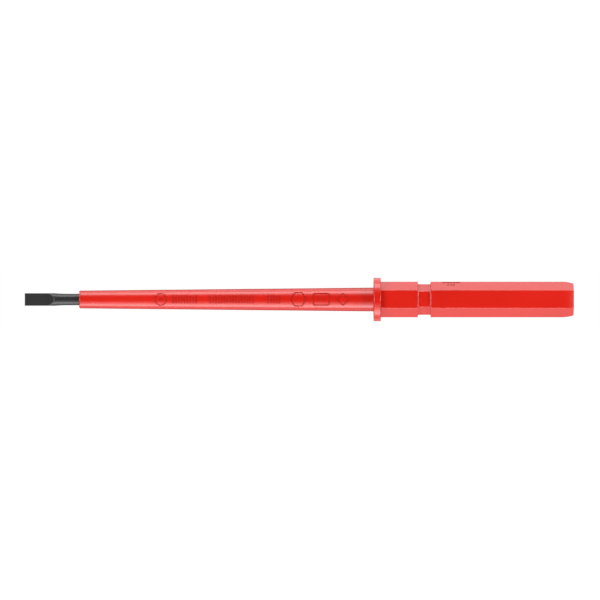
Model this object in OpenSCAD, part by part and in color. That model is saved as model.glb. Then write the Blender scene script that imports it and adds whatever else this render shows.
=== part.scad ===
// Insulated interchangeable screwdriver blade: a slotted tip, a sleeved shaft, a stop collar and a
// hexagonal drive shank with a retention groove.
// The axis lies along X. The tip points to -X and the drive shank to +X. The origin is on the axis, in
// the collar's rear face, which stops against the handle. The tip's broad face looks to +Z, and so does
// one flat of the hexagon.

/* [Tip] */
// Width of the slotted tip
tip_w = 3.5; // [3.2:0.1:4]
// Thickness at the tip's end
tip_t = 0.6; // [0.5:0.1:0.8]
// Length over which the tip keeps its full width
tip_straight = 8.5; // [7.5:0.5:9]
// Length over which the tip narrows to the round shaft
tip_neck = 5; // [3:0.5:5]
// Length of the flat, which a sloping run-out ends
flat_len = 5.9; // [5:0.1:6.6]
// Thickness where the flat ends
flat_t = 0.72; // [0.6:0.02:0.8]
// Length of the run-out, from the flat up to the blank's round surface
runout_len = 2.4; // [1.8:0.1:2.5]

/* [Shaft] */
// Diameter of the round shaft
shaft_d = 3.2; // [2.8:0.1:3.3]
// Length of bare steel in front of the sleeve
bare_len = 15.3; // [15:0.1:20]
// Width of the two pressed wings that lock the shaft in the drive shank
wing_w = 4.4; // [3.8:0.1:4.6]
// Thickness of the pressed wings
wing_t = 1.6; // [1.4:0.1:2]
// Length of each wing's parallel part
wing_len = 5; // [3:0.5:6]
// Length of the plastic behind the shaft's end
tail_cover = 8; // [6:0.5:12]

/* [Sleeve] */
// Length of the sleeve in front of the collar
sleeve_len = 82.6; // [78:0.1:90]
// Diameter of the sleeve at its front end
sleeve_front_d = 4.92; // [4.8:0.02:5.2]
// Diameter of the sleeve at the collar
sleeve_rear_d = 6.6; // [6.3:0.05:7]
// Diameter of the sleeve's tail, inside the collar and the drive shank
sleeve_tail_d = 5.5; // [5.3:0.1:5.8]
// Length of the tail behind the collar's rear face
sleeve_tail_len = 4; // [3.5:0.5:5]

/* [Inner layer] */
// Distance from the sleeve's front end to the inner layer
inner_setback = 2; // [1.5:0.5:4]
// Diameter of the inner layer at its front end
inner_front_d = 4; // [3.8:0.1:4.2]
// Diameter of the inner layer at the collar
inner_rear_d = 4.4; // [4.2:0.1:4.6]
// Length of the inner layer behind the collar's rear face
inner_tail_len = 8; // [7:0.5:9]

/* [Collar] */
// Diameter of the stop collar
collar_d = 12.15; // [11.6:0.05:13]
// Thickness of the stop collar
collar_t = 2; // [1.8:0.1:3]
// Thickness of the collar's web in front of the hexagon
collar_web = 0.8; // [0.6:0.1:1]
// Chamfer on the collar's two rims
collar_edge = 0.15; // [0.05:0.05:0.3]

/* [Drive shank] */
// Length of the drive shank behind the collar
hex_len = 54.1; // [50:0.1:60]
// Distance across the hexagon's flats
hex_flats = 8.7; // [8.4:0.1:9]
// Diameter that the hexagon's corners are eased to
hex_corner_d = 10; // [9.6:0.05:10.2]
// Distance from the collar to the retention groove
groove_pos = 10.4; // [9.5:0.1:11]
// Width of the retention groove
groove_w = 3.6; // [3:0.1:4]
// Distance across the flats of the groove's floor
groove_flats = 7.5; // [7:0.1:8]
// Bevel on the groove's two rims
groove_edge = 0.2; // [0.1:0.05:0.3]
// Length of the tapered rear end
taper_len = 1.9; // [1:0.1:3]
// Slope of the tapered rear end
taper_angle = 13; // [8:1:15]
// Diameter of the gate dimple in the rear face
gate_d = 2; // [1:0.1:2.5]
// Depth of the gate dimple
gate_depth = 0.4; // [0.2:0.1:0.6]

/* [Marks] */
// Height of the raised marks above the sleeve
mark_h = 0.1; // [0.06:0.02:0.14]
// Width of the raised lines
mark_line = 0.3; // [0.2:0.05:0.4]

/* [Hidden] */

ROUND = 96; // facets drawn on a circle
STEPS = 10; // chords on a curved outline
CUT = 1; // how far a cutter reaches past the face that it cuts

STEEL = [0.16, 0.16, 0.17];
SEAL_YELLOW = [0.9, 0.68, 0.1];
RED = [0.8, 0.08, 0.05];
DARK_RED = [0.68, 0.06, 0.04];

collar_x = -collar_t;
sleeve_x = collar_x - sleeve_len;
tip_x = sleeve_x - bare_len;
inner_x = sleeve_x + inner_setback;
socket_x = collar_x + collar_web;
shaft_end_x = hex_len - tail_cover;
groove_end_x = groove_pos + groove_w;

shaft_r = shaft_d / 2;
wing_ramp = wing_w - shaft_d; // a slope of one in two
wing_gap = 4;
wing_x = groove_end_x + 3;
turned_wing_x = wing_x + wing_len + 2 * wing_ramp + wing_gap;

sleeve_edge = 0.2;
rib_x = 2; // ring that locks the sleeve's tail
rib_w = 1;
rib_h = 0.35;
inner_rib_x = 5.8; // ring that locks the inner layer

// Radius of the tip's blank at a share t of the neck's length: a cubic ease down to the shaft.
function neck_r(t) = shaft_r + (tip_w - shaft_d) / 2 * pow(1 - t, 3);

// Points [radius, x] on one side of a wing: it swells, runs level and falls back to the shaft.
function wing_outline(x) = [
    [shaft_r, x], [wing_w / 2, x + wing_ramp],
    [wing_w / 2, x + wing_ramp + wing_len], [shaft_r, x + 2 * wing_ramp + wing_len]
];

// Carries a shape drawn along +Z to the X axis, starting at x.
module lay(x = 0) {
    translate([x, 0, 0]) rotate([0, 90, 0]) children();
}

// Round bar or cone between two places on the axis.
module bar(x0, x1, d0, d1) {
    lay(x0) cylinder(h = x1 - x0, d1 = d0, d2 = d1, $fn = ROUND);
}

// Hexagonal bar with flats above and below, its corners eased to a round of corner_d.
module hex_bar(x0, x1, flats, corner_d) {
    lay(x0) intersection() {
        rotate(30) cylinder(h = x1 - x0, d = flats / cos(30), $fn = 6);
        cylinder(h = x1 - x0, d = corner_d, $fn = ROUND);
    }
}

// Turned bar from which the tip and the wings are pressed.
module blank() {
    neck = [for (i = [0 : STEPS]) [neck_r(i / STEPS), tip_x + tip_straight + tip_neck * i / STEPS]];
    outline = concat(
        [[0, tip_x], [tip_w / 2, tip_x]], neck, wing_outline(wing_x), wing_outline(turned_wing_x),
        [[shaft_r, shaft_end_x], [0, shaft_end_x]]
    );
    lay() rotate_extrude($fn = ROUND) polygon(outline);
}

// Upper and lower press jaws whose outline is given above the axis in X and Z.
module jaws(outline) {
    for (side = [0, 1]) mirror([0, 0, side])
        rotate([90, 0, 0]) linear_extrude(height = 2 * wing_w, center = true) polygon(outline);
}

// Jaws that press the tip flat, with a run-out that slopes up to the blank's round surface.
module tip_jaws() {
    flat_x = tip_x + flat_len;
    runout_x = flat_x + runout_len;
    jaws([[tip_x - CUT, wing_w], [tip_x - CUT, tip_t / 2], [tip_x, tip_t / 2], [flat_x, flat_t / 2],
          [runout_x, tip_w / 2], [runout_x, wing_w]]);
}

// Jaws that press one wing flat, with sloping run-outs.
module wing_jaws(x) {
    level = x + wing_ramp;
    jaws([[x, wing_w], [x, shaft_r], [level, wing_t / 2], [level + wing_len, wing_t / 2],
          [level + wing_len + wing_ramp, shaft_r], [level + wing_len + wing_ramp, wing_w]]);
}

// One steel bar: slotted tip, round shaft and two wings set at right angles.
module blade_core() {
    color(STEEL) difference() {
        blank();
        tip_jaws();
        wing_jaws(wing_x);
        rotate([90, 0, 0]) wing_jaws(turned_wing_x);
    }
}

// Outer shape of the inner layer, with the ring that locks it in the drive shank.
module inner_outline() {
    bar(inner_x, collar_x, inner_front_d, inner_rear_d);
    bar(collar_x, inner_tail_len, inner_rear_d, inner_rear_d);
    bar(inner_rib_x, inner_rib_x + rib_w, inner_rear_d + 2 * rib_h, inner_rear_d + 2 * rib_h);
}

// First layer of insulation, moulded on the shaft under the sleeve.
module inner_insulation() {
    color(SEAL_YELLOW) difference() {
        inner_outline();
        bar(inner_x - CUT, inner_tail_len + CUT, shaft_d, shaft_d);
    }
}

// Sleeve's tail, which passes through the collar and is locked in the drive shank by a ring.
module sleeve_tail() {
    bar(collar_x, sleeve_tail_len, sleeve_tail_d, sleeve_tail_d);
    bar(rib_x, rib_x + rib_w, sleeve_tail_d + 2 * rib_h, sleeve_tail_d + 2 * rib_h);
}

// Tapered part of the sleeve, standing proud of its nominal surface by extra.
module sleeve_cone(extra = 0) {
    edge_d = sleeve_front_d - 2 * sleeve_edge + 2 * extra;
    front_d = sleeve_front_d + 2 * extra;
    bar(sleeve_x, sleeve_x + sleeve_edge, edge_d, front_d);
    bar(sleeve_x + sleeve_edge, collar_x, front_d, sleeve_rear_d + 2 * extra);
}

// Closed line that follows the edge of a flat shape of the given size.
module ring_mark(size, sides) {
    difference() {
        circle(d = size, $fn = sides);
        circle(d = size - 2 * mark_line / cos(180 / sides), $fn = sides);
    }
}

// Closed rectangular line.
module box_mark(w, h) {
    difference() {
        square([w, h], center = true);
        square([w - 2 * mark_line, h - 2 * mark_line], center = true);
    }
}

// Row of plain ribs that stand across the axis.
module rib_row(first_x, count) {
    rib_len = 2.2;
    pitch = 0.8;
    for (i = [0 : count - 1]) translate([first_x + pitch * i, 0])
        square([mark_line, rib_len], center = true);
}

// Plain marks in the row that they make along the sleeve.
module marks() {
    translate([-61.7, 0]) { ring_mark(3.6, ROUND); circle(d = 0.9, $fn = ROUND); }
    rib_row(-58.2, 9);
    rib_row(-47.8, 16);
    rib_row(-31.6, 5);
    translate([-23.1, 0]) ring_mark(4.6, 6);
    translate([-16.7, 0]) { box_mark(4.6, 3.6); square([2.2, mark_line], center = true); }
    translate([-10.6, 0]) ring_mark(3.8, 4);
}

// Tapered outer layer of insulation with the raised marks on its upper side.
module shaft_sleeve() {
    color(RED) difference() {
        union() {
            sleeve_cone();
            sleeve_tail();
            intersection() {
                linear_extrude(height = sleeve_rear_d) marks();
                sleeve_cone(mark_h);
            }
        }
        inner_outline();
        bar(sleeve_x - CUT, inner_x + CUT, shaft_d, shaft_d);
    }
}

// Round stop disc that the hexagon is keyed into from behind.
module collar() {
    rim_d = collar_d - 2 * collar_edge;
    color(DARK_RED) difference() {
        union() {
            bar(collar_x, collar_x + collar_edge, rim_d, collar_d);
            bar(collar_x + collar_edge, -collar_edge, collar_d, collar_d);
            bar(-collar_edge, 0, collar_d, rim_d);
        }
        hex_bar(socket_x, CUT, hex_flats, hex_corner_d);
        bar(collar_x - CUT, CUT, sleeve_tail_d, sleeve_tail_d);
    }
}

// Six wedges that cut slopes on the hexagon's flats, falling from x towards the side named, +1 or -1.
module slopes(x, angle, reach, side) {
    for (i = [0 : 5]) rotate([60 * i, 0, 0]) translate([x, 0, hex_flats / 2])
        mirror([(1 - side) / 2, 0, 0]) rotate([0, angle, 0])
            translate([0, -hex_flats / 2, 0]) cube([reach, hex_flats, reach]);
}

// Ring that cuts the groove, down to a hexagonal floor, with bevelled rims.
module groove_cutter() {
    bevel = groove_edge / cos(45);
    difference() {
        bar(groove_pos, groove_end_x, collar_d, collar_d);
        hex_bar(groove_pos - CUT, groove_end_x + CUT, groove_flats, hex_corner_d);
    }
    slopes(groove_pos - groove_edge, 45, bevel, 1);
    slopes(groove_end_x + groove_edge, 45, bevel, -1);
}

// Hexagonal drive body, moulded round the wings, with a hexagonal groove for the handle's latch.
module hex_shank() {
    color(RED) difference() {
        hex_bar(socket_x, hex_len, hex_flats, hex_corner_d);
        groove_cutter();
        slopes(hex_len - taper_len, taper_angle, 2 * taper_len, 1);
        blade_core();
        inner_outline();
        sleeve_tail();
        bar(hex_len - gate_depth, hex_len + CUT, gate_d, gate_d);
    }
}

blade_core();
inner_insulation();
shaft_sleeve();
collar();
hex_shank();
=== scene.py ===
"""Looks of an insulated interchangeable screwdriver blade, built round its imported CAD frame.

The axis lies along X, with the slotted tip at -X and the hexagonal drive shank at +X. Sizes are held in
millimetres and become metres when a mesh is made. Every surface is a grid of points worked out with numpy:
cross-sections carried along a profile, or a raised line carried along a path.
"""

import logging
import math
from dataclasses import dataclass, replace
from enum import Enum
from typing import Sequence, Union

import bpy
import numpy as np
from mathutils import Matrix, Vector


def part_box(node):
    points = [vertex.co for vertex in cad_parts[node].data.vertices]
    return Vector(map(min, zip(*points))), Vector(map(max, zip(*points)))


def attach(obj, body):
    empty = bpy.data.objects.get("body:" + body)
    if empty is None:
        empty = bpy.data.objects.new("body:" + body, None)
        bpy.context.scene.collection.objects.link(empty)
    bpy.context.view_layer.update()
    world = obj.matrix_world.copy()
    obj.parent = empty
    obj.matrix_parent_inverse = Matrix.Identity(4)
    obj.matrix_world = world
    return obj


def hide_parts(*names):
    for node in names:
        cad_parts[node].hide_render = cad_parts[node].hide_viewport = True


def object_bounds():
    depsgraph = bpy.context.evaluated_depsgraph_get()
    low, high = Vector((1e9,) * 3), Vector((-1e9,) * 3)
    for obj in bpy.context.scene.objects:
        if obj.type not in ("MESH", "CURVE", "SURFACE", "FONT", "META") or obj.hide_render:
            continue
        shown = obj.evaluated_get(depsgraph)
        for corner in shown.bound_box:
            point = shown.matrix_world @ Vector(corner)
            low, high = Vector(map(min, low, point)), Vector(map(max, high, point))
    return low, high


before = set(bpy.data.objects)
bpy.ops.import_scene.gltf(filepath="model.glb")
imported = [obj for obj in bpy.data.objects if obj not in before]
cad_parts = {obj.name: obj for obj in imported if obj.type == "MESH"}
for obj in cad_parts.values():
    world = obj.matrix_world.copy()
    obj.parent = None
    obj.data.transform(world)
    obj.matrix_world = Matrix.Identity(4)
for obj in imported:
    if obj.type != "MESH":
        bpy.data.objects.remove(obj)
CAD_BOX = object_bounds()

LOG = logging.getLogger("screwdriver_blade")
MM = 0.001
BODY = "root"
SHARP_EDGE = math.radians(32)
# Name of the mesh attribute that holds painted shade on raised lines.
PAINTED_SHADE = "painted_shade"
GUARD_SHARE = 0.35
GUARD_MM = 0.05
Array = np.ndarray
Rgba = tuple[float, float, float, float]


def mm_box(node: str) -> tuple[Array, Array]:
    """Return a CAD node's lowest and highest corners in millimetres."""
    low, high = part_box(node)
    return np.array(low) / MM, np.array(high) / MM


# ---- Shader graphs ----


class Value:
    """A number that varies over a surface. Arithmetic on it adds Math nodes to its graph."""

    def __init__(self, graph: "Graph", socket: bpy.types.NodeSocket) -> None:
        """Wrap a node's output socket."""
        self.graph = graph
        self.socket = socket

    def math(self, operation: str, first: "Operand", second: "Operand") -> "Value":
        """Add one Math node and return its result."""
        return self.graph.node("ShaderNodeMath", {"operation": operation}, {0: first, 1: second})

    def __add__(self, other: "Operand") -> "Value":
        """Return self + other."""
        return self.math("ADD", self, other)

    def __sub__(self, other: "Operand") -> "Value":
        """Return self - other."""
        return self.math("SUBTRACT", self, other)

    def __rsub__(self, other: "Operand") -> "Value":
        """Return other - self."""
        return self.math("SUBTRACT", other, self)

    def __mul__(self, other: "Operand") -> "Value":
        """Return self * other."""
        return self.math("MULTIPLY", self, other)

    __radd__ = __add__
    __rmul__ = __mul__


Operand = Union[Value, float]
Colour = Union[Value, Sequence[float]]


class Graph:
    """The node tree of one material, with its Principled shader."""

    def __init__(self, name: str) -> None:
        """Start a material that holds a Principled shader and nothing else.

        Args:
            name: Its name.
        """
        self.material = bpy.data.materials.new(name)
        self.material.use_nodes = True
        self.tree = self.material.node_tree
        self.shader = self.tree.nodes["Principled BSDF"]

    def node(self, kind: str, settings: dict, sockets: dict, output: Union[int, str] = 0) -> Value:
        """Add a node of any type.

        Args:
            kind: The node's type.
            settings: Its own settings, such as a Math node's operation. They are set first.
            sockets: Values or links of its input sockets, by number or name.
            output: Which of its outputs is wanted.

        Returns:
            The wanted output.
        """
        made = self.tree.nodes.new(kind)
        for name, value in settings.items():
            setattr(made, name, value)
        for name, value in sockets.items():
            self.feed(made.inputs[name], value)
        return Value(self, made.outputs[output])

    def feed(self, socket: bpy.types.NodeSocket, value: object) -> None:
        """Link a socket to a Value, or set it to a plain value.

        Args:
            socket: The input socket.
            value: A Value, a number, a colour or a vector.
        """
        if isinstance(value, Value):
            self.tree.links.new(value.socket, socket)
        else:
            socket.default_value = value

    def set(self, **sockets: object) -> None:
        """Feed the Principled shader's sockets. Base_Color stands for Base Color."""
        for name, value in sockets.items():
            self.feed(self.shader.inputs[name.replace("_", " ")], value)

    def place(self) -> Value:
        """Return the Object coordinates, in metres in the row frame."""
        return self.node("ShaderNodeTexCoord", {}, {}, "Object")

    def stretched(self, place: Value, scale: tuple[float, float, float]) -> Value:
        """Return coordinates multiplied by a scale along each axis."""
        return self.node("ShaderNodeVectorMath", {"operation": "MULTIPLY"}, {0: place, 1: scale})

    def noise(self, place: Value, grain_mm: float, detail: float = 2.0, rough: float = 0.5) -> Value:
        """Return noise from 0 to 1 whose grains are about the given size across."""
        sockets = {"Vector": place, "Scale": 1 / (grain_mm * MM), "Detail": detail, "Roughness": rough}
        return self.node("ShaderNodeTexNoise", {}, sockets, "Fac")

    def band(self, value: Value, low: float, high: float) -> Value:
        """Return 0 below low and 1 above high, with a smooth rise between them."""
        sockets = {"Value": value, "From Min": low, "From Max": high}
        return self.node("ShaderNodeMapRange", {"interpolation_type": "SMOOTHSTEP"}, sockets, "Result")

    def blend(self, mask: Operand, first: "Colour", second: "Colour") -> Value:
        """Mix two colours.

        Args:
            mask: 0 for the first colour, 1 for the second.
            first: The first colour.
            second: The second colour.

        Returns:
            The mixed colour.
        """
        sockets = {"Factor": mask, "A": first, "B": second}
        made = self.tree.nodes.new("ShaderNodeMix")
        made.data_type = "RGBA"
        for name, value in sockets.items():
            socket = next(s for s in made.inputs if s.name == name and s.enabled)
            self.feed(socket, value)
        return Value(self, next(s for s in made.outputs if s.enabled))

    def bump(self, height: Value, depth_mm: float) -> None:
        """Let a height from 0 to 1 disturb the shader's normal, over a depth in millimetres."""
        sockets = {"Height": height, "Distance": depth_mm * MM, "Strength": 1.0}
        self.set(Normal=self.node("ShaderNodeBump", {}, sockets))


def grey(level: float) -> Rgba:
    """Return an opaque grey."""
    return level, level, level, 1.0


# ---- Finishes ----


@dataclass(frozen=True)
class RedPlastic:
    """Glossy red moulded insulation with a faint flow pattern and a fine moulded grain."""

    name: str
    specular: float = 0.5
    deep: Rgba = (0.49, 0.0076, 0.0024, 1.0)
    light: Rgba = (0.53, 0.0092, 0.0036, 1.0)
    # Darker red of the painted shade at the foot and on top of raised lines.
    painted_shade_red: Rgba = (0.22, 0.0045, 0.0025, 1.0)
    roughness: float = 0.25
    roughness_swing: float = 0.07
    flow_mm: float = 9.0
    flow_stretch: tuple[float, float, float] = (0.35, 1.0, 1.0)
    flow_band: tuple[float, float] = (0.3, 0.7)
    grain_mm: float = 0.16
    peel_mm: float = 1.6
    peel_share: float = 0.6
    relief_mm: float = 0.0025
    ior: float = 1.55

    def material(self) -> bpy.types.Material:
        """Build the material.

        Colour follows a slow noise drawn out along the axis, as plastic flows in a mould. Painted shade
        darkens the colour of raised lines by the mesh's painted shade attribute, most at their foot and less
        on top. Roughness follows the flow and a finer grain, and the relief is an orange peel with that
        grain on it.

        Returns:
            The finish.
        """
        graph = Graph(self.name)
        place = graph.place()
        flow = graph.noise(graph.stretched(place, self.flow_stretch), self.flow_mm, detail=3.0)
        grain = graph.noise(place, self.grain_mm, detail=3.0, rough=0.6)
        peel = graph.noise(place, self.peel_mm, detail=1.0)
        # Painted shade: this attribute darkens the base colour at the foot of raised lines, and less on top.
        painted_shade = graph.node("ShaderNodeAttribute", {"attribute_name": PAINTED_SHADE}, {}, "Fac")
        clean = graph.blend(graph.band(flow, *self.flow_band), self.deep, self.light)
        graph.set(
            Base_Color=graph.blend(painted_shade, clean, self.painted_shade_red),
            Roughness=self.roughness + self.roughness_swing * (grain + flow - 1.0),
            IOR=self.ior,
            Specular_IOR_Level=self.specular,
        )
        graph.bump(peel * self.peel_share + grain * (1 - self.peel_share), self.relief_mm)
        return graph.material


MARK_RED = RedPlastic("mark_red", specular=0.12, roughness=0.5)
DRIVE_MARK_RED = replace(MARK_RED, name="drive_mark_red")


@dataclass(frozen=True)
class BlackenedSteel:
    """Dark phosphated tool steel: satin on the round parts, dull on the pressed faces of the tip."""

    name: str
    flat_end_mm: float
    runout_end_mm: float
    blank_r_mm: float
    edge_mm: float = 0.2
    flat_fade_mm: float = 0.4
    side_depths_mm: tuple[float, float] = (0.06, 0.01)
    blasted: Rgba = (0.050, 0.050, 0.0505, 1.0)
    dark: Rgba = (0.028, 0.028, 0.029, 1.0)
    worn: Rgba = (0.042, 0.041, 0.040, 1.0)
    satin: float = 0.32
    dull: float = 0.85
    roughness_swing: float = 0.1
    coat_metallic: float = 0.55
    speck_mm: float = 0.12
    speck_share: float = 0.6
    cloud_mm: float = 1.4
    turned_mm: float = 0.05
    turned_stretch: tuple[float, float, float] = (1.0, 0.12, 0.12)
    turned_share: float = 0.4
    relief_mm: float = 0.003
    ior: float = 1.5

    def material(self) -> bpy.types.Material:
        """Build the material.

        The satin finish begins behind the run-out. Past the flat's end it also covers the round sides, where
        y * y + z * z reaches the blank's radius squared. Fine specks and slow clouds vary the colour, as the
        crystals of a phosphate coating do, and fine turned lines run round the shaft.

        Returns:
            The finish.
        """
        graph = Graph(self.name)
        place = graph.place()
        x, y, z = (graph.node("ShaderNodeSeparateXYZ", {}, {0: place}, axis) for axis in "XYZ")
        runout_ends = ((self.runout_end_mm + side * self.edge_mm) * MM for side in (-1, 1))
        behind = graph.band(x, *runout_ends)
        inner, outer = (((self.blank_r_mm - depth) * MM) ** 2 for depth in self.side_depths_mm)
        round_side = graph.band(y * y + z * z, inner, outer)
        past_flat = graph.band(x, self.flat_end_mm * MM, (self.flat_end_mm + self.flat_fade_mm) * MM)
        shaft = behind.math("MAXIMUM", behind, past_flat * round_side)
        speck = graph.noise(place, self.speck_mm, detail=3.0, rough=0.7)
        cloud = graph.noise(place, self.cloud_mm)
        turned = graph.noise(graph.stretched(place, self.turned_stretch), self.turned_mm)
        coat = graph.blend(
            speck * self.speck_share + cloud * (1 - self.speck_share), self.dark, self.worn
        )
        smooth = self.dull + (self.satin - self.dull) * shaft
        graph.set(
            Base_Color=graph.blend(shaft, self.blasted, coat),
            Metallic=1.0 - (1.0 - self.coat_metallic) * shaft,
            Roughness=smooth + self.roughness_swing * (speck - 0.5),
            IOR=self.ior,
        )
        graph.bump(speck * (1 - shaft) + turned * shaft * self.turned_share, self.relief_mm)
        return graph.material


@dataclass(frozen=True)
class InnerPlastic:
    """Dull yellow plastic of the hidden first layer."""

    name: str
    colour: Rgba = (0.80, 0.47, 0.03, 1.0)
    pale: Rgba = (0.86, 0.54, 0.06, 1.0)
    flow_mm: float = 5.0
    grain_mm: float = 0.2
    roughness: float = 0.5
    roughness_swing: float = 0.1
    relief_mm: float = 0.004

    def material(self) -> bpy.types.Material:
        """Build the material: a slow flow pattern in the colour, and a fine grain.

        Returns:
            The finish.
        """
        graph = Graph(self.name)
        place = graph.place()
        grain = graph.noise(place, self.grain_mm)
        colour = graph.blend(graph.noise(place, self.flow_mm), self.colour, self.pale)
        graph.set(Base_Color=colour, Roughness=self.roughness + self.roughness_swing * grain)
        graph.bump(grain, self.relief_mm)
        return graph.material


@dataclass(frozen=True)
class StudioWhite:
    """Top of a light table: white, lit from below, with a faint mottle."""

    name: str = "studio_white"
    albedo: float = 0.06
    mottle: float = 0.1
    mottle_mm: float = 40.0
    roughness: float = 0.8
    glow: float = 1.0

    def material(self) -> bpy.types.Material:
        """Build the material. Nearly all of its light is its own, so shadows on it are faint.

        Returns:
            The finish.
        """
        graph = Graph(self.name)
        low, high = (grey(self.albedo * (1 + side * self.mottle)) for side in (-1, 1))
        graph.set(
            Base_Color=graph.blend(graph.noise(graph.place(), self.mottle_mm), low, high),
            Roughness=self.roughness,
            Emission_Color=grey(1.0),
            Emission_Strength=self.glow,
            Specular_IOR_Level=0.0,
        )
        return graph.material


@dataclass(frozen=True)
class ShadeCard:
    """Matt black sheet that puts painted shade on the object: hidden from the camera, it darkens its
    underside.
    """

    name: str = "shade_card_black"
    albedo: float = 0.03
    roughness: float = 0.9

    def material(self) -> bpy.types.Material:
        """Build the material, which has no sheen at all.

        Returns:
            The finish.
        """
        graph = Graph(self.name)
        graph.set(Base_Color=grey(self.albedo), Roughness=self.roughness, Specular_IOR_Level=0.0)
        return graph.material


# ---- Surfaces ----


class Shape(Enum):
    """Cross-section at a place on a profile; the value is its share of hexagon."""

    ROUND = 0.0
    HEXAGON = 1.0


@dataclass(frozen=True)
class Corner:
    """Corner of a profile: place on the axis, radius or apothem, fillet, and cross-section."""

    x: float
    r: float
    fillet: float = 0.0
    shape: Shape = Shape.ROUND


def unit(angle: Array) -> Array:
    """Return the unit vectors at the given angles, in a new last axis."""
    return np.stack([np.cos(angle), np.sin(angle)], axis=-1)


def round_off(before: Array, here: Array, after: Array, fillet: float, chords: int = 6) -> Array:
    """Replace a corner with an arc.

    Where the line turns by an angle a, an arc of radius f touches both sides at f * tan(a / 2) from the
    corner. One more point stands on each side of the arc, so that shading stays flat beyond it.

    Args:
        before: The corner before this one.
        here: The corner.
        after: The corner after it.
        fillet: The arc's radius. 0 keeps the corner.
        chords: How many chords stand for the arc.

    Returns:
        The points that take the corner's place.
    """
    if not fillet:
        return here[None]
    way_in = (here - before) / np.linalg.norm(here - before)
    way_out = (after - here) / np.linalg.norm(after - here)
    cross = way_in[0] * way_out[1] - way_in[1] * way_out[0]
    turn = math.atan2(abs(cross), float(way_in @ way_out))
    reach = fillet * math.tan(turn / 2)
    side = np.array([-way_in[1], way_in[0]]) * np.sign(cross)
    start = here - reach * way_in
    angle = np.linspace(0, turn, chords + 1)[:, None]
    arc = start + fillet * side - fillet * (side * np.cos(angle) - way_in * np.sin(angle))
    guard = min(GUARD_SHARE * fillet, GUARD_MM)
    return np.vstack([start - guard * way_in, arc, here + (reach + guard) * way_out])


def trace(corners: Sequence[Corner], closed: bool = False) -> Array:
    """Walk along a profile and round its corners.

    Args:
        corners: The profile's corners. A closed one runs back from the last to the first.
        closed: Whether it is closed. The ends of an open one are never rounded.

    Returns:
        One row for each point: x, radius, share of hexagon.
    """
    points = np.array([[c.x, c.r] for c in corners])
    rows = []
    for i, corner in enumerate(corners):
        end = not closed and i in (0, len(corners) - 1)
        fillet = 0.0 if end else corner.fillet
        part = round_off(points[i - 1], points[i], points[(i + 1) % len(corners)], fillet)
        rows.append(np.column_stack([part, np.full(len(part), corner.shape.value)]))
    return np.vstack(rows)


@dataclass(frozen=True)
class Ring:
    """Order of the points round a cross-section that is round, hexagonal or in between."""

    corner_r: float
    per_corner: int = 6
    per_flat: int = 9

    def pattern(self) -> tuple[Array, Array]:
        """Work out patterns A and B: a hexagon of apothem a with corners of radius c is a * A + c * B.

        A corner's arc has its centre at (a - c) / cos 30 from the axis, and spans 30 degrees either way.
        Points on a flat are shares of the way from one arc to the next, closer together at its ends.

        Returns:
            A and B, each with one row for each place round the ring.
        """
        turn = np.radians(60 * np.arange(6))[:, None]
        spread = np.radians(np.linspace(-30, 30, self.per_corner + 1))[None]
        corner = unit(turn) / math.cos(math.radians(30)) * np.ones_like(spread)[..., None]
        arc = unit(turn + spread) - corner
        share = (1 - np.cos(np.pi * np.arange(1, self.per_flat) / self.per_flat)) / 2
        share = share[None, :, None]
        ahead = np.roll(corner[:, :1], -1, axis=0), np.roll(arc[:, :1], -1, axis=0)
        flat_a = corner[:, -1:] * (1 - share) + ahead[0] * share
        flat_b = arc[:, -1:] * (1 - share) + ahead[1] * share
        a = np.concatenate([corner, flat_a], axis=1).reshape(-1, 2)
        b = np.concatenate([arc, flat_b], axis=1).reshape(-1, 2)
        return a, b

    def grid(self, profile: Array) -> Array:
        """Carry the cross-section along a profile.

        Args:
            profile: Rows of x, radius and share of hexagon.

        Returns:
            Points in millimetres, indexed by row, place round the ring, and X, Y, Z.
        """
        a, b = self.pattern()
        x, r, hexagonal = (column[:, None, None] for column in profile.T)
        hexagon = r * a + np.minimum(self.corner_r, r / 3) * b
        direction = a + b * self.corner_r / 10
        circle = r * direction / np.linalg.norm(direction, axis=1, keepdims=True)
        across = circle + hexagonal * (hexagon - circle)
        return np.concatenate([np.broadcast_to(x, across.shape[:2] + (1,)), across], axis=2)


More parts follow.
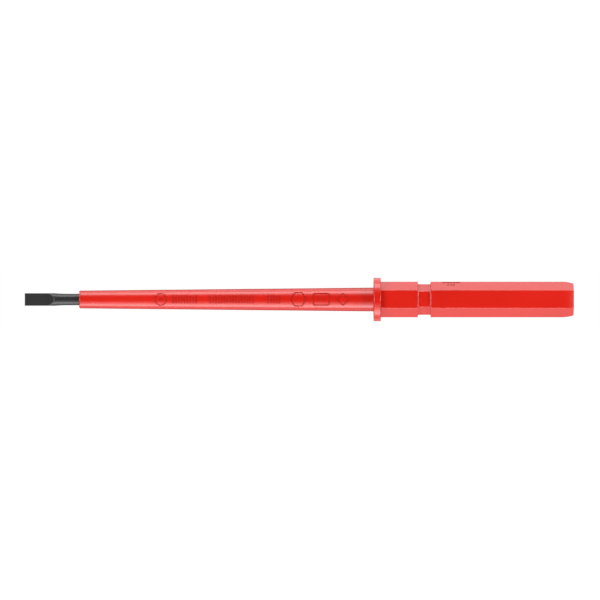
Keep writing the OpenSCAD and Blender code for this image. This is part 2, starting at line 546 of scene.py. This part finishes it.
class Skin:
    """Vertices and faces gathered from several surfaces into one mesh."""

    def __init__(self) -> None:
        """Start an empty mesh."""
        self.vertices: list[Array] = []
        self.faces: list[list[int]] = []
        self.painted_shade: list[Array] = []
        self.count = 0

    def _keep(self, points: Array, painted_shade: Array) -> int:
        """Add points with their painted shade.

        Args:
            points: Points in millimetres.
            painted_shade: Painted shade at each place round a ring.

        Returns:
            The number of the first point.
        """
        first = self.count
        self.vertices.append(points.reshape(-1, 3) * MM)
        self.painted_shade.append(np.broadcast_to(painted_shade, points.shape[:-1]).ravel())
        self.count += points.size // 3
        return first

    def add(
        self, grid: Array, loop: bool = False, ends: Sequence[Array] = (), painted_shade: Array = np.zeros(1)
    ) -> "Skin":
        """Add a surface whose rings are closed.

        The order of a ring's points is by the right-hand rule about the way from the first ring to the
        last, which turns the faces outwards.

        Args:
            grid: Points indexed by ring, place round it, and X, Y, Z.
            loop: Whether the last ring joins the first.
            ends: Two points that close the first and the last ring of an open surface.
            painted_shade: Painted shade at each place round a ring, from 0 to 1.

        Returns:
            This skin.
        """
        rings, places = grid.shape[:2]
        number = self._keep(grid, painted_shade) + np.arange(rings * places).reshape(rings, places)
        number = np.hstack([number, number[:, :1]])
        rows = np.vstack([number, number[:1]]) if loop else number
        quads = np.stack([rows[:-1, :-1], rows[:-1, 1:], rows[1:, 1:], rows[1:, :-1]], axis=-1)
        self.faces += quads.reshape(-1, 4).tolist()
        if len(ends):
            tip = self._keep(np.array(ends), painted_shade[:1])
            front = np.stack([number[0, 1:], number[0, :-1], np.full(places, tip)], axis=-1)
            back = np.stack([number[-1, :-1], number[-1, 1:], np.full(places, tip + 1)], axis=-1)
            self.faces += front.tolist() + back.tolist()
        return self

    def piece(self, name: str, slot: str, material: bpy.types.Material, *stands_for: str) -> bpy.types.Object:
        """Make the mesh an object that rides on the body.

        Args:
            name: The piece's name.
            slot: A material slot's name. It is not used.
            material: Its finish.
            stands_for: The CAD nodes that it replaces.

        Returns:
            The finished object, at the origin.
        """
        mesh = bpy.data.meshes.new(name)
        mesh.from_pydata(np.vstack(self.vertices).tolist(), [], self.faces)
        # Painted shade for each point, which darkens the red plastic's colour.
        attribute = mesh.attributes.new(PAINTED_SHADE, "FLOAT", "POINT")
        attribute.data.foreach_set("value", np.concatenate(self.painted_shade).astype(np.float32))
        mesh.validate()
        mesh.shade_smooth()
        mesh.set_sharp_from_angle(angle=SHARP_EDGE)
        mesh.materials.append(material)
        made = bpy.data.objects.new(name, mesh)
        bpy.context.scene.collection.objects.link(made)
        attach(made, BODY)
        if stands_for:
            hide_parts(*stands_for)
        LOG.info("%s: %d faces", name, len(mesh.polygons))
        return made


# ---- Raised lines ----


def outline(corners: Array, fillet: float, closed: bool = True, step: float = 0.1) -> Array:
    """Round a flat outline's corners and space points evenly along it.

    Args:
        corners: Corners along and across the axis.
        fillet: Radius of its corners.
        closed: Whether it runs back to its first corner.
        step: Distance between points.

    Returns:
        The points. A closed outline doesn't repeat its first point.
    """
    count = len(corners)
    parts = [
        round_off(corners[i - 1], corners[i], corners[(i + 1) % count],
                  fillet if closed or 0 < i < count - 1 else 0.0)
        for i in range(count)
    ]
    line = np.vstack(parts + [parts[0][:1]] if closed else parts)
    length = np.concatenate([[0], np.cumsum(np.linalg.norm(np.diff(line, axis=0), axis=1))])
    places = np.linspace(0, length[-1], max(4, round(length[-1] / step)) + 1)
    even = np.column_stack([np.interp(places, length, line[:, i]) for i in (0, 1)])
    return even[:-1] if closed else even


def polygon(x: float, radius: float, sides: int, turn: float = 0.0) -> Array:
    """Return the corners of a regular polygon about a place on the axis."""
    return np.array([x, 0.0]) + radius * unit(np.radians(turn) + 2 * np.pi * np.arange(sides) / sides)


def rectangle(x: float, length: float, width: float) -> Array:
    """Return the corners of a rectangle about a place on the axis."""
    signs = np.array([[-1, -1], [1, -1], [1, 1], [-1, 1]])
    return np.array([x, 0.0]) + signs * np.array([length, width]) / 2


def straight_line(start: Sequence[float], end: Sequence[float]) -> Array:
    """Return evenly spaced points from start to end."""
    return outline(np.array([start, end]), 0.0, closed=False)


@dataclass(frozen=True)
class RaisedLine:
    """Cross-section of a line that stands on a surface: half of a superellipse, sunk at its foot."""

    width: float = 0.32
    height: float = 0.1
    sunk: float = 0.03
    chords: int = 10
    fullness: float = 0.5
    # Painted shade at the line's foot and on its top.
    painted_shade: tuple[float, float] = (0.9, 0.45)

    def section(self) -> Array:
        """Work out the cross-section.

        At an angle t it is at width / 2 * cos(t) ** n and (height + sunk) * sin(t) ** n - sunk. Painted shade
        goes from its first amount at the foot to its second on top.

        Returns:
            Three rows: places across the line, heights above the surface, and painted shade.
        """
        angle = np.linspace(0, np.pi, self.chords + 1)
        across = np.sign(np.cos(angle)) * np.abs(np.cos(angle)) ** self.fullness
        above = np.abs(np.sin(angle)) ** self.fullness
        painted_shade = self.painted_shade[0] + (self.painted_shade[1] - self.painted_shade[0]) * above ** 3
        return np.array([across * self.width / 2, above * (self.height + self.sunk) - self.sunk, painted_shade])

    def lay(self, skin: Skin, path: Array, normal: Array, closed: bool) -> None:
        """Carry the cross-section along a path on a surface.

        Args:
            skin: Where the line is added.
            path: Points on the surface, in millimetres.
            normal: The surface's outward normal at each.
            closed: Whether the path closes.
        """
        if closed:
            along = np.roll(path, -1, axis=0) - np.roll(path, 1, axis=0)
        else:
            along = np.gradient(path, axis=0)
        side = np.cross(normal, along)
        side /= np.linalg.norm(side, axis=1, keepdims=True)
        across, above, painted_shade = self.section()
        grid = path[:, None] + side[:, None] * across[:, None] + normal[:, None] * above[:, None]
        skin.add(grid, loop=closed, ends=() if closed else grid[[0, -1]].mean(axis=1), painted_shade=painted_shade)


# ---- The blade's pieces ----


@dataclass
class Blade:
    """Steel bar: slotted tip, neck, round shaft, and two pressed wings hidden in the drive shank."""

    tip_w: float = 3.5
    tip_t: float = 0.6
    straight: float = 8.5
    neck: float = 5.0
    flat_len: float = 5.9
    flat_t: float = 0.72
    runout_len: float = 2.4
    shaft_d: float = 3.2
    wing_w: float = 4.4
    wing_t: float = 1.6
    wing_len: float = 5.0
    wings: tuple[float, float] = (17.0, 28.4)
    edge: float = 0.04
    rear_chamfer: float = 0.3
    cut_limit: float = 0.998
    cut_gap: float = 0.07
    settle_len: float = 5.0
    per_side: int = 18
    per_curve: int = 18

    def __post_init__(self) -> None:
        """Take the bar's ends from the frame."""
        low, high = mm_box("blade_core")
        self.tip_x, self.end_x = low[0], high[0]

    @property
    def ramp(self) -> float:
        """Length of a wing's sloping end, at one in two."""
        return self.wing_w - self.shaft_d

    @property
    def runout_end(self) -> float:
        """Distance from the tip to where the run-out meets the blank's round surface."""
        return self.flat_len + self.runout_len

    def stations(self) -> Array:
        """Choose the places of the cross-sections, closest where the shape changes fastest.

        Returns:
            Places along the axis, in order.
        """
        from_tip = np.concatenate([
            [0, self.edge],
            np.linspace(0.5, self.flat_len - 0.1, 6),
            [self.flat_len],
            self.flat_len + self.runout_len * np.linspace(0.04, 1, self.per_curve),
            [self.runout_end + 0.05],
            self.straight + self.neck * np.linspace(0.02, 1, self.per_curve),
            self.straight + self.neck + np.arange(1, 4),
        ])
        wings = [x + np.cumsum([0, self.ramp, self.wing_len, self.ramp]) for x in self.wings]
        return np.unique(np.round(np.concatenate([
            self.tip_x + from_tip, *wings, [self.end_x - self.rear_chamfer, self.end_x]
        ]), 5))

    def swell(self, x: Array, start: float) -> Array:
        """Return a wing's share of its full width: up a ramp, level, and down a ramp."""
        places = start + np.cumsum([0, self.ramp, self.wing_len, self.ramp])
        return np.interp(x, places, [0, 1, 1, 0])

    def blank_radius(self, x: Array) -> Array:
        """Work out the radius before pressing: the tip's, a cubic ease to the shaft's, and the wings.

        Both ends are chamfered.

        Args:
            x: Places along the axis.

        Returns:
            The radius at each.
        """
        shaft = self.shaft_d / 2
        share = np.clip((x - self.tip_x - self.straight) / self.neck, 0, 1)
        radius = shaft + (self.tip_w / 2 - shaft) * (1 - share) ** 3
        swell = np.maximum(self.swell(x, self.wings[0]), self.swell(x, self.wings[1]))
        radius = radius + (self.wing_w / 2 - shaft) * swell
        at_rear = np.clip(self.rear_chamfer - (self.end_x - x), 0, self.rear_chamfer)
        at_tip = np.clip(self.edge - (x - self.tip_x), 0, self.edge)
        return radius - at_rear - at_tip

    def half_thickness(self, x: Array) -> Array:
        """Work out how far from the axis the jaws above and below stop.

        The flat is a straight wedge, and the run-out a steeper one that ends at the blank's radius.

        Args:
            x: Places along the axis.

        Returns:
            The distance at each. Where nothing is pressed, it is larger than the radius.
        """
        from_tip = x - self.tip_x
        tip = np.interp(from_tip, [0, self.edge, self.flat_len, self.runout_end],
                        [self.tip_t / 2 - self.edge, self.tip_t / 2, self.flat_t / 2, self.tip_w / 2])
        free = 2 * self.wing_w
        tip = np.where(from_tip > self.runout_end - 1e-6, free, tip)
        return np.minimum(tip, self.wing_gap(x, self.wings[0]))

    def wing_gap(self, x: Array, start: float) -> Array:
        """Work out half of the gap between the jaws that press a wing.

        Args:
            x: Places along the axis.
            start: Where the wing begins.

        Returns:
            The distance at each. Where nothing is pressed, it is larger than the radius.
        """
        swell = self.swell(x, start)
        pressed = self.shaft_d / 2 + (self.wing_t / 2 - self.shaft_d / 2) * swell
        return np.where(swell > 0, pressed, 2 * self.wing_w)

    def grid(self, x: Array) -> Array:
        """Return the bar's surface.

        Each ring has four parts of equal count. The first spans the angles up to where the jaws cut the
        circle, so that the cut's edge is always at the same place round the ring, and each point is then
        held between the jaws. On the plain shaft the four parts ease back to quarters.

        Args:
            x: Places of the rings.

        Returns:
            Points indexed by ring, place round it, and X, Y, Z.
        """
        radius = self.blank_radius(x)
        high, wide = self.half_thickness(x), self.wing_gap(x, self.wings[1])
        cut = np.arcsin(np.minimum(high / radius, self.cut_limit))
        turned = np.arccos(np.minimum(wide / radius, self.cut_limit))
        behind = x - self.tip_x - self.runout_end
        settle = np.pi / 4 + np.interp(behind, [-0.001, self.settle_len], [np.pi / 4 - self.cut_gap, 0])
        split = np.where(wide < radius, turned, np.where(high < radius, cut, settle))
        share = np.arange(self.per_side) / self.per_side
        flank = split[:, None] * (2 * share - 1)
        face = split[:, None] + (np.pi - 2 * split[:, None]) * share
        angle = np.hstack([flank, face, np.pi + flank, np.pi + face])
        y = np.clip(radius[:, None] * np.cos(angle), -wide[:, None], wide[:, None])
        z = np.clip(radius[:, None] * np.sin(angle), -high[:, None], high[:, None])
        return np.stack([np.broadcast_to(x[:, None], y.shape), y, z], axis=-1)

    def build(self) -> None:
        """Make the bar and dress it."""
        ends_mm = self.tip_x + self.flat_len, self.tip_x + self.runout_end
        steel = BlackenedSteel("blackened_steel", *ends_mm, self.tip_w / 2).material()
        ends = np.array([[self.tip_x, 0, 0], [self.end_x, 0, 0]])
        skin = Skin().add(self.grid(self.stations()), ends=ends)
        skin.piece("steel_blade", "blade_steel", steel, "blade_core")


@dataclass
class Sleeve:
    """Tapered insulation with plain raised marks, a tail through the collar and a locking ring."""

    front_d: float = 4.92
    rear_d: float = 6.6
    tail_d: float = 5.5
    front_edge: float = 0.22
    rear_edge: float = 0.05
    bore_edge: float = 0.06
    bore_d: float = 3.2
    inner_front_d: float = 4.0
    inner_rear_d: float = 4.4
    lock_x: float = 2.0
    lock_w: float = 1.0
    lock_h: float = 0.35
    ring_x: float = -61.7
    rib_rows: tuple[tuple[float, int], ...] = ((-58.2, 9), (-47.8, 16), (-31.6, 5))
    rib_pitch: float = 0.8
    rib_len: float = 2.2
    hexagon_x: float = -23.1
    box_x: float = -16.7
    dash_len: float = 2.2
    diamond_x: float = -10.6
    seam_gaps: tuple[float, float] = (0.5, 0.1)
    seam_points: int = 40
    mark_line: RaisedLine = RaisedLine()
    # The seam gets faint painted shade at its foot.
    seam_line: RaisedLine = RaisedLine(width=0.14, height=0.025, painted_shade=(0.15, 0.0))

    def __post_init__(self) -> None:
        """Take the sleeve's places from the frame."""
        low, high = mm_box("shaft_sleeve")
        self.front_x, self.end_x = low[0], high[0]
        self.collar_x = mm_box("collar")[0][0]
        self.inner_x = mm_box("inner_insulation")[0][0]

    def radius(self, x: Array) -> Array:
        """Return the cone's radius at places along the axis."""
        return np.interp(x, [self.front_x, self.collar_x], [self.front_d / 2, self.rear_d / 2])

    def profile(self) -> list[Corner]:
        """Lay out the closed profile: outer surface towards +X, then back along the bore.

        Returns:
            Its corners.
        """
        tail, lock = self.tail_d / 2, self.tail_d / 2 + self.lock_h
        return [
            Corner(self.front_x, self.bore_d / 2, self.bore_edge),
            Corner(self.front_x, self.front_d / 2, self.front_edge),
            Corner(self.collar_x, self.rear_d / 2, self.rear_edge),
            Corner(self.collar_x, tail),
            Corner(self.lock_x, tail),
            Corner(self.lock_x, lock),
            Corner(self.lock_x + self.lock_w, lock),
            Corner(self.lock_x + self.lock_w, tail),
            Corner(self.end_x, tail),
            Corner(self.end_x, self.inner_rear_d / 2),
            Corner(self.collar_x, self.inner_rear_d / 2),
            Corner(self.inner_x, self.inner_front_d / 2),
            Corner(self.inner_x, self.bore_d / 2),
        ]

    def wrap(self, flat: Array) -> tuple[Array, Array]:
        """Drop a flat outline on to the cone from above.

        Args:
            flat: Points along X and across it.

        Returns:
            The points on the cone, and the cone's normals there.
        """
        x, y = flat.T
        radius = self.radius(x)
        z = np.sqrt(radius ** 2 - y ** 2)
        normal = np.column_stack([np.zeros_like(x), y / radius, z / radius])
        return np.column_stack([x, y, z]), normal

    def marks(self) -> list[tuple[Array, bool]]:
        """Draw the plain marks: a ring round a dot, rows of ribs, a hexagon, a box round a dash, a diamond.

        Returns:
            Flat outlines along X and across it, each with whether it closes.
        """
        fine, soft = 0.12, 0.3
        made = [
            (outline(polygon(self.ring_x, 1.65, 40), 0.0), True),
            (outline(polygon(self.ring_x, 0.3, 12), 0.0), True),
        ]
        for first, count in self.rib_rows:
            made += self.rib_row(first, count)
        dash = self.box_x + np.array([-1, 1]) * self.dash_len / 2
        return made + [
            (outline(polygon(self.hexagon_x, 2.15, 6), soft), True),
            (outline(rectangle(self.box_x, 4.3, 3.3), soft), True),
            (straight_line([dash[0], 0.0], [dash[1], 0.0]), False),
            (outline(polygon(self.diamond_x, 1.7, 4), fine), True),
        ]

    def rib_row(self, first: float, count: int) -> list[tuple[Array, bool]]:
        """Draw a row of plain ribs that stand across the axis.

        Args:
            first: Where the first one is.
            count: How many there are.

        Returns:
            Flat lines, each with whether it closes.
        """
        end = self.rib_len / 2
        places = first + self.rib_pitch * np.arange(count)
        return [(straight_line([x, -end], [x, end]), False) for x in places]

    def seams(self, skin: Skin) -> None:
        """Add the fine line that the halves of the mould leave on each side.

        Args:
            skin: Where the lines are added.
        """
        gap_front, gap_rear = self.seam_gaps
        x = np.linspace(self.front_x + gap_front, self.collar_x - gap_rear, self.seam_points)
        for side in (-1, 1):
            path = np.column_stack([x, side * self.radius(x), np.zeros_like(x)])
            normals = np.tile([0.0, side, 0.0], (len(x), 1))
            self.seam_line.lay(skin, path, normals, closed=False)

    def build(self) -> None:
        """Make the sleeve, its marks and its mould seams, and dress them."""
        plastic = RedPlastic("sleeve_red").material()
        body = Ring(corner_r=1.0, per_corner=4, per_flat=17).grid(trace(self.profile(), closed=True))
        Skin().add(body, loop=True).piece("tapered_sleeve", "sleeve_plastic", plastic, "shaft_sleeve")
        relief = Skin()
        for flat, closed in self.marks():
            self.mark_line.lay(relief, *self.wrap(flat), closed)
        self.seams(relief)
        relief.piece("sleeve_marks", "sleeve_plastic", MARK_RED.material())


@dataclass
class StopCollar:
    """Round stop disc with a hexagonal socket behind its web."""

    web: float = 0.8
    hole_d: float = 5.5
    flats: float = 8.7
    rim_edge: float = 0.2

    def build(self) -> None:
        """Make the disc and dress it."""
        low, high = mm_box("collar")
        front, rear, radius = low[0], high[0], high[2]
        floor = front + self.web
        profile = trace([
            Corner(front, self.hole_d / 2),
            Corner(front, radius, self.rim_edge),
            Corner(rear, radius, self.rim_edge),
            Corner(rear, self.flats / 2, 0.0, Shape.HEXAGON),
            Corner(floor, self.flats / 2, 0.0, Shape.HEXAGON),
            Corner(floor, self.hole_d / 2),
        ], closed=True)
        plastic = RedPlastic("collar_red").material()
        grid = Ring(corner_r=0.2, per_corner=5, per_flat=16).grid(profile)
        Skin().add(grid, loop=True).piece("stop_collar", "collar_plastic", plastic, "collar")


@dataclass
class DriveShank:
    """Hexagonal drive body with a groove for a latch, a tapered end and a blind bore for the steel."""

    flats: float = 8.7
    corner_r: float = 0.24
    groove_x: float = 10.4
    groove_w: float = 3.6
    groove_flats: float = 7.5
    rim_r: float = 0.12
    floor_r: float = 0.27
    taper_len: float = 1.9
    taper_angle: float = 13.0
    taper_blend: float = 11.0
    rear_edge: float = 0.03
    gate_d: float = 2.0
    gate_narrows: float = 0.8
    gate_depth: float = 0.4
    # Painted shade darkens the shank's marks at their foot and on top.
    mark_line: RaisedLine = RaisedLine(height=0.08, painted_shade=(1.0, 0.7))
    bar_x: tuple[float, float] = (17.2, 22.2)
    bar_y: float = 1.95
    rib_x: tuple[float, ...] = (18.9, 19.7, 20.5)
    rib_y: tuple[float, float] = (0.2, 1.2)

    def __post_init__(self) -> None:
        """Take the shank's places from the frame."""
        low, high = mm_box("hex_shank")
        self.front_x, self.end_x = low[0], high[0]

    def profile(self, blade: Blade, sleeve: Sleeve) -> list[Corner]:
        """Return the profile, from the bore's blind end forwards, out, and back to the rear face.

        Args:
            blade: The steel bar that the bore holds.
            sleeve: The sleeve whose tail and ring the front of the bore holds.

        Returns:
            Its corners.
        """
        hexagon = Shape.HEXAGON
        half, floor = self.flats / 2, self.groove_flats / 2
        shaft, layer, tail = blade.shaft_d / 2, sleeve.inner_rear_d / 2, sleeve.tail_d / 2
        layer_end = mm_box("inner_insulation")[1][0]
        ring = tail + sleeve.lock_h
        ring_end = sleeve.lock_x + sleeve.lock_w
        groove_end = self.groove_x + self.groove_w
        end = half - self.taper_len * math.tan(math.radians(self.taper_angle))
        gate = self.gate_d / 2
        return [
            Corner(blade.end_x, 0), Corner(blade.end_x, shaft), Corner(layer_end, shaft),
            Corner(layer_end, layer), Corner(sleeve.end_x, layer), Corner(sleeve.end_x, tail),
            Corner(ring_end, tail), Corner(ring_end, ring), Corner(sleeve.lock_x, ring),
            Corner(sleeve.lock_x, tail), Corner(self.front_x, tail),
            Corner(self.front_x, half, 0.0, hexagon),
            Corner(self.groove_x, half, self.rim_r, hexagon),
            Corner(self.groove_x, floor, self.floor_r, hexagon),
            Corner(groove_end, floor, self.floor_r, hexagon),
            Corner(groove_end, half, self.rim_r, hexagon),
            Corner(self.end_x - self.taper_len, half, self.taper_blend, hexagon),
            Corner(self.end_x, end, self.rear_edge, hexagon),
            Corner(self.end_x, gate), Corner(self.end_x - self.gate_depth, gate * self.gate_narrows),
            Corner(self.end_x - self.gate_depth, 0),
        ]

    def facet_mark(self, skin: Skin, flat: Array) -> None:
        """Lay a line on the upper flat at +Y.

        Args:
            skin: Where the line is added.
            flat: Points along X and across the flat, from its middle.
        """
        normal, across = unit(np.radians([30.0, -60.0]))
        place = self.flats / 2 * normal + flat[:, 1:] * across
        path = np.column_stack([flat[:, 0], place])
        normals = np.tile([0.0, *normal], (len(path), 1))
        self.mark_line.lay(skin, path, normals, closed=False)

    def marks(self, skin: Skin) -> None:
        """Add a plain bar near the flat's outer edge, and short ribs beside it.

        Args:
            skin: Where the marks are added.
        """
        self.facet_mark(skin, straight_line(*([x, self.bar_y] for x in self.bar_x)))
        for x in self.rib_x:
            self.facet_mark(skin, straight_line(*([x, y] for y in self.rib_y)))

    def build(self, blade: Blade, sleeve: Sleeve) -> None:
        """Make the shank and its marks, and dress them.

        Args:
            blade: The steel bar inside it.
            sleeve: The sleeve whose tail is inside it.
        """
        relief = Skin()
        self.marks(relief)
        relief.piece("drive_marks", "drive_plastic", DRIVE_MARK_RED.material())
        plastic = RedPlastic("drive_red").material()
        rows = trace(self.profile(blade, sleeve))
        grid = Ring(self.corner_r).grid(rows[1:-1])
        ends = np.column_stack([rows[[0, -1], 0], np.zeros((2, 2))])
        Skin().add(grid, ends=ends).piece("hex_drive_shank", "drive_plastic", plastic, "hex_shank")


def dress_inner_layer() -> None:
    """Give the hidden first layer, whose CAD shape stays, its finish."""
    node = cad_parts["inner_insulation"]
    node.data.materials.clear()
    node.data.materials.append(InnerPlastic("inner_layer_yellow").material())
    LOG.info("inner_insulation: CAD shape, new finish")


# ---- Studio ----


@dataclass(frozen=True)
class SoftBox:
    """Large area light. Places and sizes are in metres, and radiance is in the camera's white."""

    name: str
    centre: tuple[float, float, float]
    target: tuple[float, float, float]
    size: tuple[float, float]
    radiance: float

    def hang(self) -> None:
        """Make the light. Its power is radiance * pi * area."""
        data = bpy.data.lights.new(self.name, "AREA")
        data.shape = "RECTANGLE"
        data.size, data.size_y = self.size
        data.energy = self.radiance * math.pi * self.size[0] * self.size[1]
        made = bpy.data.objects.new(self.name, data)
        made.location = self.centre
        aim = Vector(self.target) - Vector(self.centre)
        made.rotation_euler = aim.to_track_quat("-Z", "Y").to_euler()
        made.visible_camera = False
        bpy.context.scene.collection.objects.link(made)


AIM = (-0.02, 0.0, 0.0)
SOFT_BOXES = (
    SoftBox("far_low", (-0.02, 0.62, 0.15), AIM, (0.36, 0.32), 5.3),
    SoftBox("far_mid", (-0.02, 0.48, 0.36), AIM, (0.36, 0.24), 0.8),
    SoftBox("near_low", (-0.02, -0.62, 0.15), AIM, (0.36, 0.32), 6.1),
    SoftBox("near_mid", (-0.02, -0.48, 0.36), AIM, (0.36, 0.24), 2.8),
    SoftBox("near_high", (-0.02, -0.33, 0.50), AIM, (0.36, 0.20), 1.0),
    SoftBox("left_box", (-0.68, 0.0, 0.74), AIM, (0.50, 0.50), 10.5),
    SoftBox("right_box", (0.76, 0.0, 0.54), AIM, (0.50, 0.50), 9.8),
)


@dataclass(frozen=True)
class Studio:
    """Plain white light table with a curved rim, soft boxes, and a camera that looks nearly straight down.

    Sizes are in metres, except where a name says otherwise.
    """

    table_r: float = 2.8
    rim_h: float = 0.4
    rim_rings: int = 13
    places: int = 96
    # Size and lift of the black sheet of painted shade under the object.
    shade_card_size: tuple[float, float] = (0.22, 0.018)
    shade_card_lift: float = 0.00001
    strip_y: float = 0.16
    strip_size: tuple[float, float] = (0.60, 0.30)
    strip_radiance: float = 0.65
    sky: float = 0.06
    camera_distance: float = 2.3
    camera_elevation: float = 88.9
    span_share: float = 0.9144
    aim_shift_mm: tuple[float, float] = (0.24, -0.14)
    sensor_mm: float = 36.0

    def prop(
        self, name: str, vertices: list, faces: list, material: bpy.types.Material
    ) -> bpy.types.Object:
        """Make a mesh of the studio itself.

        Args:
            name: Its name.
            vertices: Its vertices, in metres.
            faces: Its faces, as lists of vertex numbers.
            material: Its finish.

        Returns:
            The object.
        """
        mesh = bpy.data.meshes.new(name)
        mesh.from_pydata(vertices, [], faces)
        mesh.shade_smooth()
        mesh.materials.append(material)
        made = bpy.data.objects.new(name, mesh)
        bpy.context.scene.collection.objects.link(made)
        return made

    def table(self, height: float) -> None:
        """Lay the table: a disc whose rim curves up by a quarter circle.

        Args:
            height: The object's lowest point.
        """
        turn = np.linspace(0, np.pi / 2, self.rim_rings)
        r = np.concatenate([[MM], self.table_r + self.rim_h * np.sin(turn)])
        z = height + np.concatenate([[0.0], self.rim_h * (1 - np.cos(turn))])
        flat = r[:, None, None] * unit(np.linspace(0, 2 * np.pi, self.places, endpoint=False))
        level = np.broadcast_to(z[:, None, None], flat.shape[:2] + (1,))
        grid = np.concatenate([flat, level], axis=2).reshape(-1, 3)
        number = np.arange(len(grid)).reshape(-1, self.places)
        beside = np.roll(number, -1, axis=1)
        quads = np.stack([number[:-1], number[1:], beside[1:], beside[:-1]], axis=-1).reshape(-1, 4)
        faces = quads.tolist() + [number[0].tolist()]
        self.prop("table", grid.tolist(), faces, StudioWhite().material())

    def shade_card(self, height: float) -> None:
        """Lay a narrow dark sheet on the table under the object, which the camera doesn't see. It is painted
        shade: it darkens the object's underside and the reflections along its outline.

        Args:
            height: The table's height.
        """
        x, y = (size / 2 for size in self.shade_card_size)
        z = height + self.shade_card_lift
        corners = [(-x, -y, z), (x, -y, z), (x, y, z), (-x, y, z)]
        # Painted shade: a black sheet, hidden from the camera, darkens the object's underside.
        self.prop("shade_card", corners, [(0, 1, 2, 3)], ShadeCard().material()).visible_camera = False

    def lights(self, height: float) -> None:
        """Hang the soft boxes, lay one on the table behind the object, and set the sky.

        Args:
            height: The table's height.
        """
        for box in SOFT_BOXES:
            box.hang()
        centre = (0.0, self.strip_y, height + MM)
        above = (0.0, self.strip_y, height + MM + 1)
        SoftBox("behind", centre, above, self.strip_size, self.strip_radiance).hang()
        world = bpy.data.worlds.new("studio")
        bpy.context.scene.world = world
        world.use_nodes = True
        world.node_tree.nodes["Background"].inputs["Color"].default_value = grey(self.sky)

    def camera(self, low: Vector, high: Vector) -> None:
        """Set the camera. The object fills span_share of the picture's width, seen nearly along -Z.

        Args:
            low: The object's lowest corner.
            high: Its highest corner.
        """
        data = bpy.data.cameras.new("camera")
        data.sensor_width = self.sensor_mm
        width = (high.x - low.x) / self.span_share
        data.lens = self.sensor_mm * self.camera_distance / width
        made = bpy.data.objects.new("camera", data)
        tilt = math.radians(self.camera_elevation)
        shift_x, shift_y = self.aim_shift_mm
        aim = Vector(((low.x + high.x) / 2 + shift_x * MM, shift_y * MM, 0.0))
        made.location = aim + self.camera_distance * Vector((0.0, -math.cos(tilt), math.sin(tilt)))
        made.rotation_euler = (math.pi / 2 - tilt, 0.0, 0.0)
        bpy.context.scene.collection.objects.link(made)
        bpy.context.scene.camera = made

    def build(self, low: Vector, high: Vector) -> None:
        """Set up the camera, the table, the dark sheet of painted shade under the object, and the lights.

        Args:
            low: The object's lowest corner.
            high: Its highest corner.
        """
        self.camera(low, high)
        self.table(low.z)
        self.shade_card(low.z)
        self.lights(low.z)
        bpy.context.scene.view_settings.view_transform = "Standard"


def main() -> None:
    """Build the studio and then the pieces, from the tip to the drive shank."""
    logging.basicConfig(level=logging.INFO, format="%(name)s: %(message)s")
    Studio().build(*CAD_BOX)
    blade, sleeve = Blade(), Sleeve()
    blade.build()
    dress_inner_layer()
    sleeve.build()
    StopCollar().build()
    DriveShank().build(blade, sleeve)


if __name__ == "__main__":
    main()
